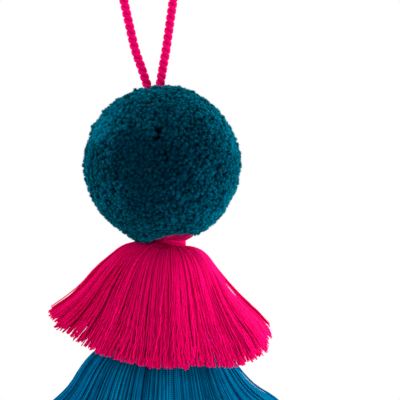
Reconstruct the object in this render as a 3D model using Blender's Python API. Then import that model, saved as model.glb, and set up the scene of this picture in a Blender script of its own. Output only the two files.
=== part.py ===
"""A hanging pompom with a two-tier thread tassel.

A twisted cord loop carries a wool pompom. Under it thread is bound round the neck
of an upper skirt, and a lower skirt hangs from inside the upper one.

Metres, +Z up, seen along +Y. The origin is where a hook bears, inside the top of
the loop.
"""

import math
import random
from typing import NamedTuple

import bmesh
import bpy
import numpy as np
from mathutils import Matrix, Vector

GAP = 0.0003  # between pieces that touch in the real thing
SEED = 11

# Hanging loop: a two-ply cord. The route holds (across, height) of its centre line,
# from the left leg's foot in the pompom, over the top and down to the right leg's.
CORD_DIAMETER = 0.004
CORD_TWIST = 0.0057  # length of one full turn of the plies
CORD_STEPS = 8  # sections in one turn
ROUTE_STEPS = 20  # between two points of the route, when its length is measured
CORD_ROUTE = (
    (-0.00039, -0.07683),
    (-0.00088, -0.07310),
    (-0.00199, -0.06973),
    (-0.00455, -0.06190),
    (-0.00728, -0.05410),
    (-0.00983, -0.04330),
    (-0.01226, -0.03250),
    (-0.01408, -0.02380),
    (-0.01490, -0.01520),
    (-0.01364, -0.00740),
    (-0.00910, -0.00060),
    (0.0, 0.00200),
    (0.00640, -0.00110),
    (0.00974, -0.00740),
    (0.01083, -0.01520),
    (0.01030, -0.02380),
    (0.00914, -0.03250),
    (0.00762, -0.04330),
    (0.00606, -0.05410),
    (0.00468, -0.06190),
    (0.00346, -0.06973),
    (0.00360, -0.07263),
    (0.00389, -0.07638),
)
# One quarter of the cord's section, as shares of its radius: ply, shoulder, waist
PLY_SECTION = ((1.0, 0.0), (0.74, 0.68), (0.0, 0.52))

# Pompom: a core with a lock on each cell of a five by five grid on six sides
POMPOM_CENTRE = Vector((0.00455, 0.0, -0.1037))
POMPOM_RADIUS = 0.0342
POMPOM_LEAN = math.radians(-5.9)  # its axis runs from the loop's legs to the neck
CORE_RADIUS = 0.028
LOCK_CELLS = 5
CORD_CELL = 0.0054  # half the bare cell at the top, where the cord enters
NECK_CELL = 0.0068  # half the bare cell at the bottom, where the neck does
# Sections up a lock: share of its cell, distance from the pompom's centre
LOCK_PROFILE = ((0.89, 0.0316), (0.76, 0.0334), (0.42, POMPOM_RADIUS))
LOCK_UNEVEN = 0.0007
LOCK_SWAY = 0.0005

# Neck, bound with five turns of thread
NECK = Vector((0.0078, 0.0, -0.1365))
NECK_RADIUS = 0.0059
PLUG_RADIUS = 0.0044  # of the neck where it reaches up into the pompom
PLUG_TAPER = 0.0012
BINDING_RADIUS = 0.0070
BINDING_TURNS = 5
BINDING_HEIGHT = 0.0026
BINDING_RIDGE = 0.35  # a groove's depth, as a share of a turn's height
BINDING_SIDES = 28
BINDING_LEAN = math.radians(-3.0)

LOWER_NECK = Vector((0.0061, 0.0, -0.1719))
HEAD_DEPTH = 0.0090  # from the upper neck to the flat under its head
HEAD_FLAT = 0.0064  # that flat's radius
STEM_RADIUS = 0.0032  # the lower neck's, up to the upper head
STEM_FOOT = 0.0040  # where the stem starts to widen, above the lower neck
LOWER_HEAD_HOLLOW = 0.55  # its underside's inner ring, as a share of its rim
LOWER_HEAD_DROP = 0.0015

# How each skirt falls: the share of a strand's length, then the angle in degrees
# from straight down on the left side, the front and back, and the right side
UPPER_FALL = (
    (0.00, 113, 80, 92),
    (0.10, 99, 52, 70),
    (0.20, 77, 31, 42),
    (0.30, 52, 20, 30),
    (0.45, 43, 14, 31),
    (0.60, 40, 13, 45),
    (0.75, 51, 15, 49),
    (0.90, 58, 17, 40),
    (1.00, 57, 18, 40),
)
LOWER_FALL = (
    (0.00, 86, 75, 94),
    (0.10, 75, 48, 80),
    (0.20, 65, 30, 56),
    (0.30, 55, 20, 36),
    (0.40, 45, 16, 26),
    (0.50, 34, 14, 36),
    (0.60, 31, 14, 46),
    (0.70, 46, 15, 62),
    (0.85, 54, 17, 44),
    (1.00, 44, 19, 42),
)

FINE_STEPS = 80  # along a strand, when its fall is added up
FULLNESS = 0.83  # a strand's width as a share of the distance to the next one
SIDE_CROWDING = 0.15  # strands stand this much closer at the sides than on average
SIDE_POWER = 3  # how soon the side's fall gives way to the front's, going round
CORNER_PEAK = 256 / 27  # brings the highest value of cos^6 x sin^2 to 1
STRAND_UNEVEN = 0.045  # a strand is shorter by up to this share of its length
STRAND_STIR = 0.12  # sideways, as a share of the distance to the next strand
INNER_REACH = 0.60  # of the outer row's distance from the axis
INNER_DROP = 0.0040


class Skirt(NamedTuple):
    neck_radius: float
    fall: tuple
    left_length: float
    front_length: float
    right_length: float
    left_corner: float  # added to the length a third of the way from left to front or back
    right_corner: float
    strands: int
    shoulder: float  # share of the length where the head has a ring
    rim: float  # share of the length where the head ends and the strands begin
    sections: tuple  # shares of the length where a strand has a section
    thickness: float
    tip_thickness: float


UPPER = Skirt(
    neck_radius=0.0064,
    fall=UPPER_FALL,
    left_length=0.0588,
    front_length=0.0577,
    right_length=0.0550,
    left_corner=0.0024,
    right_corner=0.0066,
    strands=60,
    shoulder=0.07,
    rim=0.15,
    sections=(0.26, 0.40, 0.58, 0.79, 1.0),
    thickness=0.0024,
    tip_thickness=0.0015,
)
LOWER = Skirt(
    neck_radius=0.0050,
    fall=LOWER_FALL,
    left_length=0.0740,
    front_length=0.0712,
    right_length=0.0728,
    left_corner=0.0,
    right_corner=0.0,
    strands=60,
    shoulder=0.06,
    rim=0.13,
    sections=(0.24, 0.38, 0.56, 0.78, 1.0),
    thickness=0.0026,
    tip_thickness=0.0016,
)

PINK = (222, 0, 88)
TEAL = (0, 60, 82)
BLUE = (0, 92, 138)


def clear_scene():
    for obj in list(bpy.data.objects):
        bpy.data.objects.remove(obj, do_unlink=True)


def linear(level):
    level /= 255
    return level / 12.92 if level <= 0.04045 else ((level + 0.055) / 1.055) ** 2.4


def material(name, colour, roughness):
    made = bpy.data.materials.new(name)
    made.use_nodes = True
    shader = made.node_tree.nodes["Principled BSDF"]
    shader.inputs["Base Color"].default_value = (*map(linear, colour), 1.0)
    shader.inputs["Roughness"].default_value = roughness
    shader.inputs["Metallic"].default_value = 0.0
    return made


def make_object(name, bm, finish, location=(0, 0, 0), rotation=(0, 0, 0)):
    bmesh.ops.recalc_face_normals(bm, faces=bm.faces)
    mesh = bpy.data.meshes.new(name)
    bm.to_mesh(mesh)
    bm.free()
    mesh.shade_smooth()
    mesh.set_sharp_from_angle(angle=math.radians(35))
    mesh.materials.append(finish)
    obj = bpy.data.objects.new(name, mesh)
    obj.location = location
    obj.rotation_euler = rotation
    bpy.context.collection.objects.link(obj)
    return obj


def skin(bm, rings, capped=True):
    """Faces between neighbouring rings of points, and a face across each open end."""
    rows = [[bm.verts.new(point) for point in ring] for ring in rings]
    bands = []
    for low, high in zip(rows, rows[1:]):
        pairs = zip(low, low[1:] + low[:1], high[1:] + high[:1], high)
        bands.append([bm.faces.new(corners) for corners in pairs])
    if capped:
        bm.faces.new(rows[0])
        bm.faces.new(rows[-1])
    return bands


def extrude(bm, face, places):
    """Extrudes one face, and moves its corners to these places, in their order."""
    made = bmesh.ops.extrude_discrete_faces(bm, faces=[face])["faces"][0]
    for corner, place in zip(made.verts, places):
        corner.co = place
    return made


def smooth_route(points, spacing):
    """Points this far apart on one smooth curve through the route's own points."""
    points = [Vector((across, 0.0, height)) for across, height in points]
    ends = [2 * points[0] - points[1], *points, 2 * points[-1] - points[-2]]
    fine = []
    for a, b, c, d in zip(ends, ends[1:], ends[2:], ends[3:]):
        for step in range(ROUTE_STEPS):
            t = step / ROUTE_STEPS
            fine.append(
                0.5
                * (
                    2 * b
                    + (c - a) * t
                    + (2 * a - 5 * b + 4 * c - d) * t**2
                    + (3 * b - a - 3 * c + d) * t**3
                )
            )
    fine = np.array([*fine, points[-1]])
    run = np.concatenate([[0], np.cumsum(np.linalg.norm(np.diff(fine, axis=0), axis=1))])
    count = round(run[-1] / spacing)
    at = np.linspace(0, run[-1], count + 1)
    return [Vector(np.interp(x, run, fine[:, k]) for k in range(3)) for x in at]


def ply_section():
    """The cord's section: two plies side by side with a waist between them."""
    (ply_x, _), (side_x, side_y), (_, waist_y) = PLY_SECTION
    shares = (
        (ply_x, 0),
        (side_x, side_y),
        (0, waist_y),
        (-side_x, side_y),
        (-ply_x, 0),
        (-side_x, -side_y),
        (0, -waist_y),
        (side_x, -side_y),
    )
    return [(x * CORD_DIAMETER / 2, y * CORD_DIAMETER / 2) for x, y in shares]


def make_hanging_loop(finish):
    centre_line = smooth_route(CORD_ROUTE, CORD_TWIST / CORD_STEPS)
    depth = Vector((0, 1, 0))
    rings = []
    for number, centre in enumerate(centre_line):
        before = centre_line[max(number - 1, 0)]
        after = centre_line[min(number + 1, len(centre_line) - 1)]
        side = depth.cross(after - before).normalized()
        turn = -2 * math.pi * number / CORD_STEPS
        wide = side * math.cos(turn) + depth * math.sin(turn)
        high = depth * math.cos(turn) - side * math.sin(turn)
        rings.append([centre + wide * x + high * y for x, y in ply_section()])
    bm = bmesh.new()
    skin(bm, rings)
    return make_object("hanging_loop", bm, finish)


def core_mesh():
    """A ball of six grids of cells, with a larger flat cell at each pole."""
    bm = bmesh.new()
    bmesh.ops.create_cube(bm, size=2)
    bmesh.ops.subdivide_edges(
        bm, edges=bm.edges, cuts=LOCK_CELLS - 1, use_grid_fill=True
    )
    for vert in bm.verts:
        spread = Vector(math.tan(math.pi / 4 * x) for x in vert.co)
        co = spread.normalized() * CORE_RADIUS
        half = CORD_CELL if co.z > 0 else NECK_CELL
        if max(abs(co.x), abs(co.y)) < CORD_CELL:
            size = (half, half, pole_height(half))
            co = Vector(math.copysign(part, x) for part, x in zip(size, co))
        vert.co = co
    return bm


def pole_height(half_cell):
    """From the pompom's centre to the flat cell at a pole."""
    return math.sqrt(CORE_RADIUS**2 - 2 * half_cell**2)


def make_pompom(finish):
    rng = random.Random(SEED)
    bm = core_mesh()
    for cell in list(bm.faces):
        middle = cell.calc_center_median()
        if math.hypot(middle.x, middle.y) < CORD_CELL / 2:
            continue
        heading = middle.normalized()
        headings = [corner.co.normalized() for corner in cell.verts]
        longer = rng.uniform(-LOCK_UNEVEN, LOCK_UNEVEN)
        sway = Vector(rng.uniform(-LOCK_SWAY, LOCK_SWAY) for _ in range(3))
        for share, radius in LOCK_PROFILE:
            places = []
            for corner in headings:
                inward = heading.lerp(corner, share).normalized()
                places.append(inward * (radius + longer) + sway)
            cell = extrude(bm, cell, places)
    return make_object("pompom", bm, finish, POMPOM_CENTRE, (0, POMPOM_LEAN, 0))


def ring(radius, height, count, lean=0.0):
    """A level ring of points round +Z, or one that leans about +Y."""
    turn = Matrix.Rotation(lean, 3, "Y")
    points = []
    for number in range(count):
        angle = 2 * math.pi * number / count
        flat = Vector((radius * math.cos(angle), radius * math.sin(angle), 0))
        points.append(turn @ flat + Vector((0, 0, height)))
    return points


def make_neck_binding(finish):
    """A turned ring with a rounded ridge for each turn of thread."""
    inner = NECK_RADIUS + GAP
    pitch = BINDING_HEIGHT / BINDING_TURNS
    groove = BINDING_RADIUS - BINDING_RIDGE * pitch
    profile = [(inner, -BINDING_HEIGHT / 2)]
    for turn in range(BINDING_TURNS):
        low = -BINDING_HEIGHT / 2 + turn * pitch
        profile += [(groove, low), (BINDING_RADIUS, low + pitch / 2)]
    profile += [(groove, BINDING_HEIGHT / 2), (inner, BINDING_HEIGHT / 2)]
    bm = bmesh.new()
    rings = [ring(radius, height, BINDING_SIDES) for radius, height in profile]
    skin(bm, [*rings, rings[0]], capped=False)
    bmesh.ops.remove_doubles(bm, verts=bm.verts, dist=1e-6)
    return make_object("neck_binding", bm, finish, NECK, (0, BINDING_LEAN, 0))


def fall_at(skirt, azimuth):
    """(distance from the axis, height, angle) down the skirt's surface at this azimuth.

    An azimuth of 0 is the right side, and a quarter turn on is the back.
    """
    share, left, front, right = np.array(skirt.fall, float).T
    sideways = abs(math.cos(azimuth)) ** SIDE_POWER
    if math.cos(azimuth) > 0:
        side, side_length, corner = right, skirt.right_length, skirt.right_corner
    else:
        side, side_length, corner = left, skirt.left_length, skirt.left_corner
    length = sideways * side_length + (1 - sideways) * skirt.front_length
    length += corner * CORNER_PEAK * math.cos(azimuth) ** 6 * math.sin(azimuth) ** 2
    middles = (np.arange(FINE_STEPS) + 0.5) / FINE_STEPS
    angles = np.interp(middles, share, sideways * side + (1 - sideways) * front)
    angles = np.radians(angles)
    step = length / FINE_STEPS
    across = np.concatenate([[0], np.cumsum(np.sin(angles) * step)])
    height = np.concatenate([[0], np.cumsum(-np.cos(angles) * step)])
    return skirt.neck_radius + across, height, np.append(angles, angles[-1])


def surface_point(skirt, azimuth, share, inset=0.0):
    """A point of the skirt's surface, or this far under it."""
    across, height, angle = fall_at(skirt, azimuth)
    at = share * FINE_STEPS
    steps = np.arange(FINE_STEPS + 1)
    r, z, lean = (np.interp(at, steps, column) for column in (across, height, angle))
    r -= inset * math.cos(lean)
    z -= inset * math.sin(lean)
    return Vector((r * math.cos(azimuth), r * math.sin(azimuth), z))


def around(skirt, offset=0.0):
    """The azimuths of the corners between strands, or of what lies between corners."""
    azimuths = []
    for number in range(skirt.strands):
        turn = 2 * math.pi * (number + offset) / skirt.strands
        azimuths.append(turn - SIDE_CROWDING * math.sin(2 * turn) / 2)
    return azimuths


def skirt_ring(skirt, share, inset=0.0):
    return [surface_point(skirt, azimuth, share, inset) for azimuth in around(skirt)]


def grow_row(bm, roots, routes, thickness, tip_thickness):
    """Extrudes each root face along its route, in step with its neighbours' routes."""
    for number, face in enumerate(roots):
        route = routes[number]
        before, after = routes[number - 1], routes[(number + 1) % len(routes)]
        for step in range(1, len(route)):
            along = (route[step] - route[step - 1]).normalized()
            across = after[step] - before[step]
            across = (across - across.dot(along) * along).normalized()
            outward = along.cross(across)
            room = min(
                (after[step] - route[step]).length, (route[step] - before[step]).length
            )
            part = step / (len(route) - 1)
            deep = outward * (thickness + (tip_thickness - thickness) * part) / 2
            wide = across * FULLNESS * room / 2
            middle = route[step]
            corners = (
                middle - wide + deep,
                middle + wide + deep,
                middle + wide - deep,
                middle - wide - deep,
            )
            face = extrude(bm, face, corners)


def strand_routes(skirt, azimuths, rng, reach=1.0, drop=0.0):
    """Where each strand of a row runs: its root, then its own uneven way down."""
    pitch = 2 * math.pi / len(azimuths)
    routes = []
    for azimuth in azimuths:
        stir = rng.uniform(-STRAND_STIR, STRAND_STIR) * pitch
        stretch = 1 - rng.uniform(0, STRAND_UNEVEN)
        route = []
        for share in (skirt.rim, *skirt.sections):
            down = skirt.rim + (share - skirt.rim) * stretch
            point = surface_point(
                skirt, azimuth + stir * share, down, skirt.thickness / 2
            )
            route.append(Vector((point.x * reach, point.y * reach, point.z - drop)))
        routes.append(route)
    return routes


def moved(points, offset):
    return [point + offset for point in points]


def make_upper_tassel(finish):
    """A head from its plug in the pompom to the rim, and one row of strands."""
    count = UPPER.strands
    lean = Matrix.Rotation(POMPOM_LEAN, 3, "Y")
    plug_top = POMPOM_CENTRE - NECK - lean @ Vector((0, 0, pole_height(NECK_CELL) + GAP))
    bound_top = BINDING_HEIGHT / 2 + GAP
    start = Vector((0, 0, -bound_top - 2 * GAP))
    rim_under = skirt_ring(UPPER, UPPER.rim, UPPER.thickness)
    rings = [
        moved(ring(PLUG_RADIUS, 0, count, POMPOM_LEAN), plug_top),
        ring(PLUG_RADIUS, bound_top + PLUG_TAPER, count),
        ring(NECK_RADIUS, bound_top, count),
        ring(NECK_RADIUS, -bound_top, count),
        moved(skirt_ring(UPPER, 0), start),
        moved(skirt_ring(UPPER, UPPER.shoulder), start),
        moved(skirt_ring(UPPER, UPPER.rim), start),
        moved(rim_under, start),
        ring(HEAD_FLAT, -HEAD_DEPTH, count),
    ]
    bm = bmesh.new()
    bands = skin(bm, rings)
    routes = strand_routes(UPPER, around(UPPER, 0.5), random.Random(SEED + 1))
    routes = [moved(route, start) for route in routes]
    grow_row(bm, bands[6], routes, UPPER.thickness, UPPER.tip_thickness)
    return make_object("upper_tassel", bm, finish, NECK)


def make_lower_tassel(finish):
    """A bound stem up to the upper head, its own head, and two rows of strands."""
    rng = random.Random(SEED + 2)
    count = LOWER.strands
    stem_top = NECK - LOWER_NECK - Vector((0, 0, HEAD_DEPTH + GAP))
    rim_under = skirt_ring(LOWER, LOWER.rim, LOWER.thickness)
    hollow = Matrix.Diagonal((LOWER_HEAD_HOLLOW, LOWER_HEAD_HOLLOW, 1))
    rings = [
        moved(ring(STEM_RADIUS, 0, count), stem_top),
        ring(STEM_RADIUS, STEM_FOOT, count),
        skirt_ring(LOWER, 0),
        skirt_ring(LOWER, LOWER.shoulder),
        skirt_ring(LOWER, LOWER.rim),
        rim_under,
        moved([hollow @ point for point in rim_under], Vector((0, 0, -LOWER_HEAD_DROP))),
    ]
    bm = bmesh.new()
    bands = skin(bm, rings)
    middles = around(LOWER, 0.5)
    outer = strand_routes(LOWER, middles, rng)
    grow_row(bm, bands[4], outer, LOWER.thickness, LOWER.tip_thickness)
    inner = strand_routes(LOWER, middles[::2], rng, INNER_REACH, INNER_DROP)
    grow_row(bm, bands[5][::2], inner, LOWER.thickness, LOWER.tip_thickness)
    return make_object("lower_tassel", bm, finish, LOWER_NECK)


def main():
    clear_scene()
    pink_cotton = material("pink cotton thread", PINK, 0.75)
    make_hanging_loop(material("pink twisted cord", PINK, 0.8))
    make_pompom(material("teal wool", TEAL, 0.95))
    make_neck_binding(material("pink binding thread", PINK, 0.7))
    make_upper_tassel(pink_cotton)
    make_lower_tassel(material("blue cotton thread", BLUE, 0.75))


if __name__ == "__main__":
    main()
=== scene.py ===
"""A hanging pompom with a two-tier thread tassel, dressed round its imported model.

Metres, +Z up, seen along +Y. The origin is where a hook bears, inside the top of the
loop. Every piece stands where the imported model's solid stands.
"""

import math
from typing import NamedTuple

import bpy
import numpy as np
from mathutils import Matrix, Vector


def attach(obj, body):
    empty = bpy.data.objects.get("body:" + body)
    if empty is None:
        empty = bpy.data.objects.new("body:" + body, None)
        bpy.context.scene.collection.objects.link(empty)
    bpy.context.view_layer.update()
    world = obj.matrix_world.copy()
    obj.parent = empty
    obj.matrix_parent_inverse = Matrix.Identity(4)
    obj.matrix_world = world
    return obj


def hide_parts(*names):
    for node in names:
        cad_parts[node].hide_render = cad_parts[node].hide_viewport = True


bl_info = {
    "name": "Pompom charm with a two-tier tassel",
    "version": (1, 0, 0),
    "blender": (4, 5, 0),
    "location": "3D View > Sidebar > Charm",
    "description": "Makes the cord, wool, binding and thread skirts of a hanging charm",
    "category": "Add Mesh",
}

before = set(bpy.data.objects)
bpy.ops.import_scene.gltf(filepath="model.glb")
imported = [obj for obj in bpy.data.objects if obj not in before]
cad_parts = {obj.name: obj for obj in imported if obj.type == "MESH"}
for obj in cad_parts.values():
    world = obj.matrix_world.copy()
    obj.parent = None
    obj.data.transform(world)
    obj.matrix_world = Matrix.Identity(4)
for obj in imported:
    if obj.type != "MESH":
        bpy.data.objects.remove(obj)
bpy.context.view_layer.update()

SEED = 23
UP = np.array((0.0, 0.0, 1.0))
DEPTH = np.array((0.0, 1.0, 0.0))

# Camera: level, along +Y, at the middle of the photo's frame
AIM = (0.02079, 0.0, -0.1191)
DISTANCE = 0.9
FRAME_SIDE = 0.17324
SENSOR = 36.0

# Cord: (across, height) of its centre line, from the left leg's foot to the right one's
CORD_ROUTE = (
    (-0.00039, -0.07683),
    (-0.00088, -0.07310),
    (-0.00199, -0.06973),
    (-0.00455, -0.06190),
    (-0.00728, -0.05410),
    (-0.00983, -0.04330),
    (-0.01226, -0.03250),
    (-0.01408, -0.02380),
    (-0.01490, -0.01520),
    (-0.01364, -0.00740),
    (-0.00910, -0.00060),
    (0.0, 0.00200),
    (0.00640, -0.00110),
    (0.00974, -0.00740),
    (0.01083, -0.01520),
    (0.01030, -0.02380),
    (0.00914, -0.03250),
    (0.00762, -0.04330),
    (0.00606, -0.05410),
    (0.00468, -0.06190),
    (0.00346, -0.06973),
    (0.00360, -0.07263),
    (0.00389, -0.07638),
)
ROUTE_STEPS = 20
RING_SPACING = 0.00042
PLY_OFFSET = 0.475  # a ply's centre, as a share of the cord's radius
PLY_THICK = 0.525  # half its thickness along that line
PLY_WIDE = 0.75
PLY_YARNS = 7
YARN_SIDES = 4
YARN_GROOVE = 0.06
YARN_UNTWIST = 0.8  # the yarns turn back by this share of the plies' turn
CORD_HAIRS = 900
HAIR_ROOT = 0.72  # share of the cord's radius
HAIR_LENGTH = (0.0007, 0.0013)
HAIR_WIDTH = 0.00003
CORD_PITCH = 0.0011  # of a yarn's own fibres

# Pompom
POMPOM_CENTRE = np.array((0.00455, 0.0, -0.1037))
POMPOM_RADIUS = 0.0342

# Neck and binding
NECK = np.array((0.0078, 0.0, -0.1365))
BAND_RADIUS = 0.0069
BAND_HEIGHT = 0.0033
BAND_MIDDLE = -0.1367
BAND_TILT = math.radians(11.0)  # its right side hangs lower
UNDER_TURN = 0.0005  # how much nearer the axis the turns underneath lie
TURN_STEPS = 40
NECK_THREAD_PITCH = 0.0012
NECK_THREAD_RADIUS = 0.00036
UPPER_START = NECK + np.array((0.0, 0.0, -0.0022))
LOWER_NECK = np.array((0.0061, 0.0, -0.1719))

# How each skirt falls: the share of a strand's length, then the angle in degrees from
# straight down on the left side, the front and back, and the right side
UPPER_FALL = (
    (0.00, 113, 80, 92),
    (0.10, 99, 52, 70),
    (0.20, 77, 31, 42),
    (0.30, 52, 20, 30),
    (0.45, 43, 14, 31),
    (0.60, 40, 13, 45),
    (0.75, 51, 15, 49),
    (0.90, 58, 17, 40),
    (1.00, 57, 18, 40),
)
LOWER_FALL = (
    (0.00, 86, 75, 94),
    (0.10, 75, 48, 80),
    (0.20, 65, 30, 56),
    (0.30, 55, 20, 36),
    (0.40, 45, 16, 26),
    (0.50, 34, 14, 36),
    (0.60, 31, 14, 46),
    (0.70, 46, 15, 62),
    (0.85, 54, 17, 44),
    (1.00, 44, 19, 42),
)
FINE_STEPS = 80
PAST_END = 1.12  # how far past a strand's length the surface is worked out
COLUMNS = 240
SIDE_CROWDING = 0.15
SIDE_POWER = 3
CORNER_PEAK = 256 / 27  # brings the highest value of cos^6 x sin^2 to 1


class Skirt(NamedTuple):
    """A skirt's surface: its fall, and its length on each side."""

    start: np.ndarray
    neck_radius: float
    fall: tuple
    left_length: float
    front_length: float
    right_length: float
    left_corner: float
    right_corner: float
    tilt: float = 0.0  # of the binding that the threads come out from


class Lay(NamedTuple):
    """How a layer of threads lies on its skirt. Lengths in metres, the rest shares."""

    threads: int
    rings: int
    half_width: float
    locks: int
    pull: float  # how far a thread is drawn to the middle of its lock
    drift: float  # degrees that a thread wanders round the skirt
    wave: float
    uneven: float
    neck_depth: float
    hem_depth: float
    reach: tuple  # least and most distance from the axis, as shares of the surface's
    stretch: float = -0.015  # share added to each thread's length
    side_loose: float = 0.0  # how near the right side, in radians, all threads lie loose
    calm: float = 0.0  # how much more evenly the threads lie at the sides
    side_hang: float = 0.0  # how much lower a thread inside the skirt hangs at its sides


UPPER = Skirt(UPPER_START, 0.0064, UPPER_FALL, 0.0588, 0.0577, 0.0550, 0.0024, 0.0066, BAND_TILT)
LOWER = Skirt(LOWER_NECK, 0.0050, LOWER_FALL, 0.0740, 0.0712, 0.0728, 0.0, 0.0)
UPPER_OUTER = Lay(
    880, 33, 0.00030, 150, 0.28, 3.7, 0.00055, 0.042, 0.0022, 0.0024, (1.0, 1.0), -0.015, 0.02, 0.85
)
UPPER_INNER = Lay(620, 14, 0.00044, 90, 0.05, 0.5, 0.00030, 0.020, 0.0020, 0.0018, (0.90, 0.985), -0.005)
LOWER_OUTER = Lay(
    760, 20, 0.00033, 240, 0.50, 0.9, 0.00014, 0.030, 0.0016, 0.0036, (1.0, 1.0), -0.015, 0.0, 0.9
)
LOWER_INNER = Lay(
    480, 13, 0.00042, 80, 0.10, 2.0, 0.00030, 0.060, 0.0015, 0.0030, (0.45, 0.94), side_hang=0.020
)


def linear(level):
    level /= 255
    return level / 12.92 if level <= 0.04045 else ((level + 0.055) / 1.055) ** 2.4


def colour(red, green, blue):
    return (linear(red), linear(green), linear(blue))


def unit(vectors):
    lengths = np.linalg.norm(vectors, axis=-1, keepdims=True)
    return vectors / np.maximum(lengths, 1e-12)


def ease(low, high, x):
    """0 below low, 1 above high, and a smooth rise between them."""
    t = np.clip((x - low) / (high - low), 0, 1)
    return t * t * (3 - 2 * t)


def even_turns(count):
    return 2 * np.pi * np.arange(count) / count


def round_axis(level, azimuth, height):
    """Points this far from an upright axis, at these azimuths and heights."""
    level, azimuth, height = np.broadcast_arrays(level, azimuth, height)
    return np.stack([level * np.cos(azimuth), level * np.sin(azimuth), height], axis=-1)


class Shape:
    """The points, faces and values of a piece, gathered before its mesh is made.

    tone is a value of each yarn or thread, depth is 0 deep inside and 1 at the surface,
    and the lower it is the more painted shade darkens the colour there, and the map Lay
    holds the turn round a thread and the metres along it.
    """

    def __init__(self):
        self.points = []
        self.faces = []
        self.values = []
        self.count = 0

    def add(self, points, faces, tone, depth):
        """faces holds pairs: corner numbers, and the Lay of each corner."""
        points = points.reshape(-1, 3)
        for corners, lay in faces:
            self.faces.append((corners + self.count, lay))
        tone = np.broadcast_to(tone, len(points))
        depth = np.broadcast_to(depth, len(points))
        self.points.append(points)
        self.values.append(np.stack([tone, depth]))
        self.count += len(points)

    def make(self, name, finish):
        points = np.concatenate(self.points)
        corners = [block for block, _ in self.faces]
        sizes = np.concatenate([np.full(len(block), block.shape[1]) for block in corners])
        loops = np.concatenate([block.ravel() for block in corners])
        lay = np.concatenate([block.reshape(-1, 2) for _, block in self.faces])
        mesh = bpy.data.meshes.new(name)
        mesh.vertices.add(len(points))
        mesh.vertices.foreach_set("co", points.astype(np.float32).ravel())
        mesh.loops.add(len(loops))
        mesh.loops.foreach_set("vertex_index", loops.astype(np.int32))
        mesh.polygons.add(len(sizes))
        starts = np.concatenate([[0], np.cumsum(sizes)[:-1]])
        mesh.polygons.foreach_set("loop_start", starts.astype(np.int32))
        mesh.update(calc_edges=True)
        layer = mesh.uv_layers.new(name="Lay")
        layer.uv.foreach_set("vector", lay.astype(np.float32).ravel())
        for title, values in zip(("tone", "depth"), np.concatenate(self.values, axis=1)):
            attribute = mesh.attributes.new(title, "FLOAT", "POINT")
            attribute.data.foreach_set("value", values.astype(np.float32))
        mesh.shade_smooth()
        mesh.materials.append(finish)
        if mesh.validate():
            raise RuntimeError(f"{name} has faces that are not sound")
        piece = bpy.data.objects.new(name, mesh)
        bpy.context.scene.collection.objects.link(piece)
        return piece


def tube_walls(index, run):
    """The walls between neighbouring rings, and their Lay. index ends in rings, sides."""
    sides = index.shape[-1]
    following = np.roll(index, -1, axis=-1)
    low, high = index[..., :-1, :], index[..., 1:, :]
    walls = np.stack([low, high, following[..., 1:, :], following[..., :-1, :]], axis=-1)
    near = np.broadcast_to(np.arange(sides) / sides, low.shape)
    far = near + 1 / sides
    start = np.broadcast_to(run[..., :-1, None], low.shape)
    end = np.broadcast_to(run[..., 1:, None], low.shape)
    corners = ((near, start), (near, end), (far, end), (far, start))
    lay = np.stack([np.stack(corner, -1) for corner in corners], axis=-2)
    return walls.reshape(-1, 4), lay.reshape(-1, 4, 2)


def add_tubes(shape, centres, half_widths, outward, sides, tone, depth, rough=None):
    """A closed tube along each row of centres. rough scales the distance of each point."""
    count, rings = centres.shape[:2]
    along = unit(np.gradient(centres, axis=1))
    across = unit(np.cross(along, outward))
    up = np.cross(across, along)
    turn = even_turns(sides)
    ring = across[:, :, None] * np.cos(turn)[:, None] + up[:, :, None] * np.sin(turn)[:, None]
    size = half_widths[:, :, None, None]
    if rough is not None:
        size = size * rough[..., None]
    points = centres[:, :, None] + size * ring
    step = np.linalg.norm(np.diff(centres, axis=1), axis=2)
    run = np.concatenate([np.zeros((count, 1)), np.cumsum(step, axis=1)], axis=1)
    index = np.arange(count * rings * sides).reshape(count, rings, sides)
    ends = np.concatenate([index[:, 0], index[:, -1, ::-1]])
    end_run = np.concatenate([run[:, 0], run[:, -1]])[:, None]
    end_lay = np.stack([np.zeros_like(ends, float), np.broadcast_to(end_run, ends.shape)], -1)
    tone = np.broadcast_to(np.asarray(tone)[:, None, None], index.shape).ravel()
    depth = np.broadcast_to(np.asarray(depth)[..., None], index.shape).ravel()
    faces = [tube_walls(index, run), (ends, end_lay)]
    shape.add(points, faces, tone, depth)


def add_spikes(shape, roots, tips, half_width, tone, depths):
    """A thin three-sided hair from each root to its tip, with the depths of both."""
    along = unit(tips - roots)
    aside = np.where(np.abs(along[:, 2:]) < 0.9, UP, DEPTH)
    across = unit(np.cross(along, aside))
    up = np.cross(across, along)
    base = []
    for corner in range(3):
        turn = 2 * math.pi * corner / 3
        base.append(roots + half_width * (across * math.cos(turn) + up * math.sin(turn)))
    points = np.stack([*base, tips], axis=1)
    index = np.arange(4 * len(roots)).reshape(-1, 4)
    faces = []
    for corners in ((0, 3, 1), (1, 3, 2), (2, 3, 0), (0, 1, 2)):
        faces.append((index[:, corners], np.zeros((len(roots), 3, 2))))
    depth = np.stack([depths[0]] * 3 + [depths[1]], axis=1)
    shape.add(points, faces, np.repeat(tone, 4), depth.ravel())


def even_directions(count, rng, jitter):
    """Unit vectors spread evenly over the ball, each moved by a share of their spacing."""
    number = np.arange(count) + 0.5
    height = 1 - 2 * number / count
    turn = number * math.pi * (3 - math.sqrt(5))
    level = np.sqrt(1 - height**2)
    flat = round_axis(level, turn, height)
    spacing = math.sqrt(4 * math.pi / count)
    return unit(flat + rng.normal(0, jitter * spacing, (count, 3)))


def nearest(points, centres):
    """The number of the centre nearest to each point."""
    found = []
    for block in np.array_split(points, 20):
        found.append(np.argmax(block @ centres.T, axis=1))
    return np.concatenate(found)


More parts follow.
